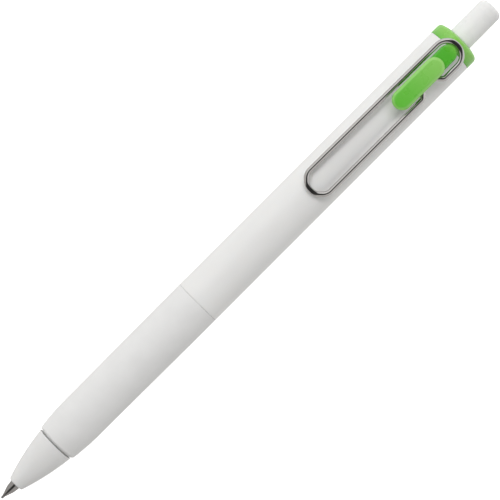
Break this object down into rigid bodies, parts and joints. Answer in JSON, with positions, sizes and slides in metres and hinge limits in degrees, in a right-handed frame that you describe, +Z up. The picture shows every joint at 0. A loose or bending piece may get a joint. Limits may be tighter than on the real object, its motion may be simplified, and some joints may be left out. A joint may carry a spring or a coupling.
{
  "type": "retractable gel pen",
  "caption": "Retractable gel ink pen with a soft grip sleeve, a steel wire clip and a push button on its end.",
  "frame": {"origin": "middle of the pen's length and width, at the level that the barrel rests on when the pen lies down", "axes": "+X runs along the pen from the writing tip to the push button, +Z points up to the clip, +Y is across the clip"},
  "size_m": [0.1418, 0.0104, 0.0141],
  "materials": {
    "white_plastic": "satin moulded white",
    "nose_plastic": "satin moulded pale grey-white",
    "button_plastic": "glossy moulded bright white",
    "white_elastomer": "matte soft white",
    "green_plastic": "satin moulded lime green",
    "light_green_plastic": "satin moulded lime green",
    "natural_acetal": "natural moulded",
    "clip_steel": "bright drawn stainless wire",
    "spring_steel": "drawn spring wire",
    "clear_polypropylene": "translucent",
    "green_ink": "wet",
    "ink_follower": "clear gel",
    "refill_acetal": "natural moulded",
    "tip_steel": "turned stainless",
    "carbide_ball": "polished carbide"
  },
  "bodies": {
    "barrel": {"barrel": "white_plastic", "grip_sleeve": "white_elastomer", "nose_cone": "nose_plastic", "end_cap": "green_plastic", "clip_tab": "light_green_plastic", "cam_sleeve": "natural_acetal", "return_spring": "spring_steel"},
    "clip": {"clip_wire": "clip_steel"},
    "button": {"knock_button": "button_plastic", "cam_plunger": "natural_acetal"},
    "refill": {"refill_tube": "clear_polypropylene", "refill_ink": "green_ink", "refill_grease": "ink_follower", "refill_tail_plug": "refill_acetal", "refill_tip_holder": "refill_acetal", "refill_tip": "tip_steel", "tip_spring": "spring_steel", "tip_ball": "carbide_ball"},
    "rotor": {"cam_rotor": "natural_acetal"}
  },
  "joints": [
    {"name": "button_slide", "type": "slide", "parent": "barrel", "child": "button", "axis": [1, 0, 0], "range_m": [-0.0012, 0.0055]},
    {"name": "refill_slide", "type": "slide", "parent": "barrel", "child": "refill", "axis": [1, 0, 0], "range_m": [-0.0012, 0.0055], "deforming": ["return_spring"]},
    {"name": "rotor_turn", "type": "hinge", "parent": "refill", "child": "rotor", "pos_m": [0.0429, 0, 0.0052], "axis": [1, 0, 0], "range_deg": [-9.9, 45.1]},
    {"name": "clip_lift", "type": "hinge", "parent": "barrel", "child": "clip", "pos_m": [0.0497, 0, 0.01205], "axis": [0, 1, 0], "range_deg": [0, 5], "stiffness_Nm_per_rad": 0.05}
  ],
  "couplings": [
    {"joint": "refill_slide", "follows": "button_slide", "ratio": 1},
    {"joint": "rotor_turn", "follows": "button_slide", "rad_per_m": 142.8}
  ]
}
